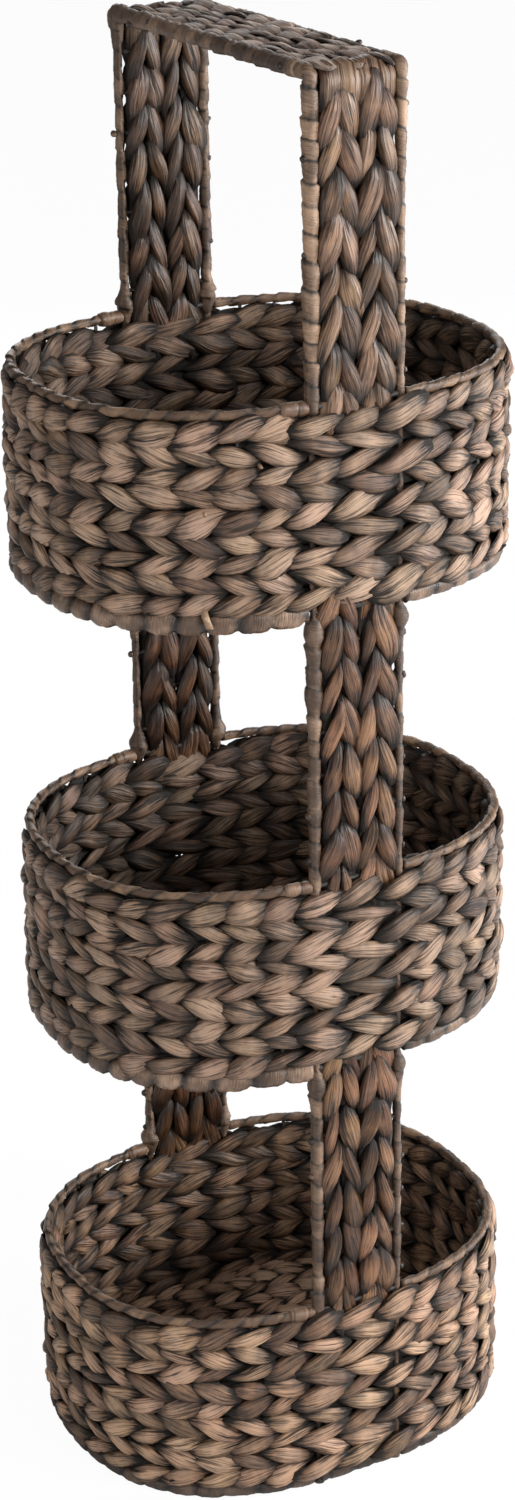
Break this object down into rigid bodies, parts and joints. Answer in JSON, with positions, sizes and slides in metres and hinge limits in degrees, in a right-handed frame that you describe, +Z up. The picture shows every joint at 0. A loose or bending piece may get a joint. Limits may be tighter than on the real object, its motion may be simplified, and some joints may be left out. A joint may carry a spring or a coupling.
{
  "type": "woven storage tower",
  "caption": "Tall oval storage tower of dark brown leaf-woven baskets, one above another on a woven wire arch that is also the handle.",
  "frame": {"origin": "on the floor under the middle of the tower, level with the lower flats of the bottom base hoops", "axes": "+Z up, +X along the oval baskets, -Y towards the front upright"},
  "size_m": [0.3116, 0.2638, 0.9424],
  "materials": {
    "leaf_weave": "satin",
    "leaf_winding": "satin",
    "leaf_floor": "matte",
    "frame_wire": "satin"
  },
  "bodies": {
    "root": {"arch_frame": "frame_wire", "handle_left_plait": "leaf_weave", "handle_right_plait": "leaf_weave", "bottom_stake_cage": "frame_wire", "bottom_floor_mat": "leaf_floor", "bottom_left_base_hoop": "leaf_winding", "bottom_left_rim_hoop": "leaf_winding", "bottom_right_base_hoop": "leaf_winding", "bottom_right_rim_hoop": "leaf_winding", "bottom_course_1": "leaf_weave", "bottom_course_2": "leaf_weave", "bottom_course_3": "leaf_weave", "bottom_course_4": "leaf_weave", "bottom_course_5": "leaf_weave", "bottom_course_6": "leaf_weave", "bottom_course_7": "leaf_weave", "bottom_course_8": "leaf_weave", "bottom_course_9": "leaf_weave", "middle_stake_cage": "frame_wire", "middle_floor_mat": "leaf_floor", "middle_left_base_hoop": "leaf_winding", "middle_left_rim_hoop": "leaf_winding", "middle_right_base_hoop": "leaf_winding", "middle_right_rim_hoop": "leaf_winding", "middle_course_1": "leaf_weave", "middle_course_2": "leaf_weave", "middle_course_3": "leaf_weave", "middle_course_4": "leaf_weave", "middle_course_5": "leaf_weave", "middle_course_6": "leaf_weave", "middle_course_7": "leaf_weave", "middle_course_8": "leaf_weave", "middle_course_9": "leaf_weave", "top_stake_cage": "frame_wire", "top_floor_mat": "leaf_floor", "top_left_base_hoop": "leaf_winding", "top_left_rim_hoop": "leaf_winding", "top_right_base_hoop": "leaf_winding", "top_right_rim_hoop": "leaf_winding", "top_course_1": "leaf_weave", "top_course_2": "leaf_weave", "top_course_3": "leaf_weave", "top_course_4": "leaf_weave", "top_course_5": "leaf_weave", "top_course_6": "leaf_weave", "top_course_7": "leaf_weave", "top_course_8": "leaf_weave", "top_course_9": "leaf_weave", "front_lower_left_plait": "leaf_weave", "front_lower_right_plait": "leaf_weave", "front_upper_left_plait": "leaf_weave", "front_upper_right_plait": "leaf_weave", "back_lower_left_plait": "leaf_weave", "back_lower_right_plait": "leaf_weave", "back_upper_left_plait": "leaf_weave", "back_upper_right_plait": "leaf_weave"}
  },
  "joints": []
}
